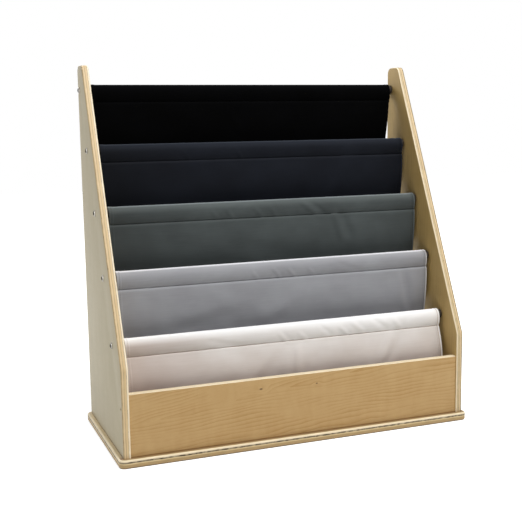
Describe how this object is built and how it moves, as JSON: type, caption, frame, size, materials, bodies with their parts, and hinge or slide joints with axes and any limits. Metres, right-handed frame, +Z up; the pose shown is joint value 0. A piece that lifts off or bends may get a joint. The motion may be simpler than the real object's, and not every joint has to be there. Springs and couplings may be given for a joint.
{
  "type": "sling bookshelf",
  "caption": "Child's sling bookshelf: slanted plywood sides on a base, cloth slings hung from bolted dowels, wooden front bin.",
  "frame": {"origin": "on the floor, at the centre of the base's underside", "axes": "+X to the right along the dowels as seen from the front, +Y to the back, +Z up"},
  "size_m": [0.78, 0.34, 0.782],
  "materials": {
    "birch_ply": "clear satin lacquer on birch plywood, laminations open on the edges",
    "birch_dowel": "sanded birch, clear satin",
    "zinc_steel": "bright zinc-plated steel, satin",
    "brass": "turned brass",
    "cloth_black": "plain black polyester canvas, soft sheen",
    "cloth_navy": "plain navy charcoal polyester canvas, soft sheen",
    "cloth_dark_grey": "plain dark grey polyester canvas, soft sheen",
    "cloth_light_grey": "plain light grey polyester canvas, soft sheen",
    "cloth_cream": "plain off-white polyester canvas, soft sheen"
  },
  "bodies": {
    "root": {"side_panel_left": "birch_ply", "side_panel_right": "birch_ply", "base_panel": "birch_ply", "front_panel": "birch_ply", "dowel_1": "birch_dowel", "dowel_2": "birch_dowel", "dowel_3": "birch_dowel", "dowel_4": "birch_dowel", "dowel_5": "birch_dowel", "bottom_dowel": "birch_dowel", "sling_1_black": "cloth_black", "sling_2_navy": "cloth_navy", "sling_3_dark_grey": "cloth_dark_grey", "sling_4_light_grey": "cloth_light_grey", "sling_5_cream": "cloth_cream", "dowel_bolt_left_1": "zinc_steel", "dowel_insert_left_1": "brass", "dowel_bolt_left_2": "zinc_steel", "dowel_insert_left_2": "brass", "dowel_bolt_left_3": "zinc_steel", "dowel_insert_left_3": "brass", "dowel_bolt_left_4": "zinc_steel", "dowel_insert_left_4": "brass", "dowel_bolt_left_5": "zinc_steel", "dowel_insert_left_5": "brass", "front_panel_screw_left": "zinc_steel", "base_screw_left_front": "zinc_steel", "base_screw_left_middle": "zinc_steel", "base_screw_left_back": "zinc_steel", "base_screw_front_panel_left": "zinc_steel", "dowel_bolt_right_1": "zinc_steel", "dowel_insert_right_1": "brass", "dowel_bolt_right_2": "zinc_steel", "dowel_insert_right_2": "brass", "dowel_bolt_right_3": "zinc_steel", "dowel_insert_right_3": "brass", "dowel_bolt_right_4": "zinc_steel", "dowel_insert_right_4": "brass", "dowel_bolt_right_5": "zinc_steel", "dowel_insert_right_5": "brass", "front_panel_screw_right": "zinc_steel", "base_screw_right_front": "zinc_steel", "base_screw_right_middle": "zinc_steel", "base_screw_right_back": "zinc_steel", "base_screw_front_panel_right": "zinc_steel"}
  },
  "joints": []
}
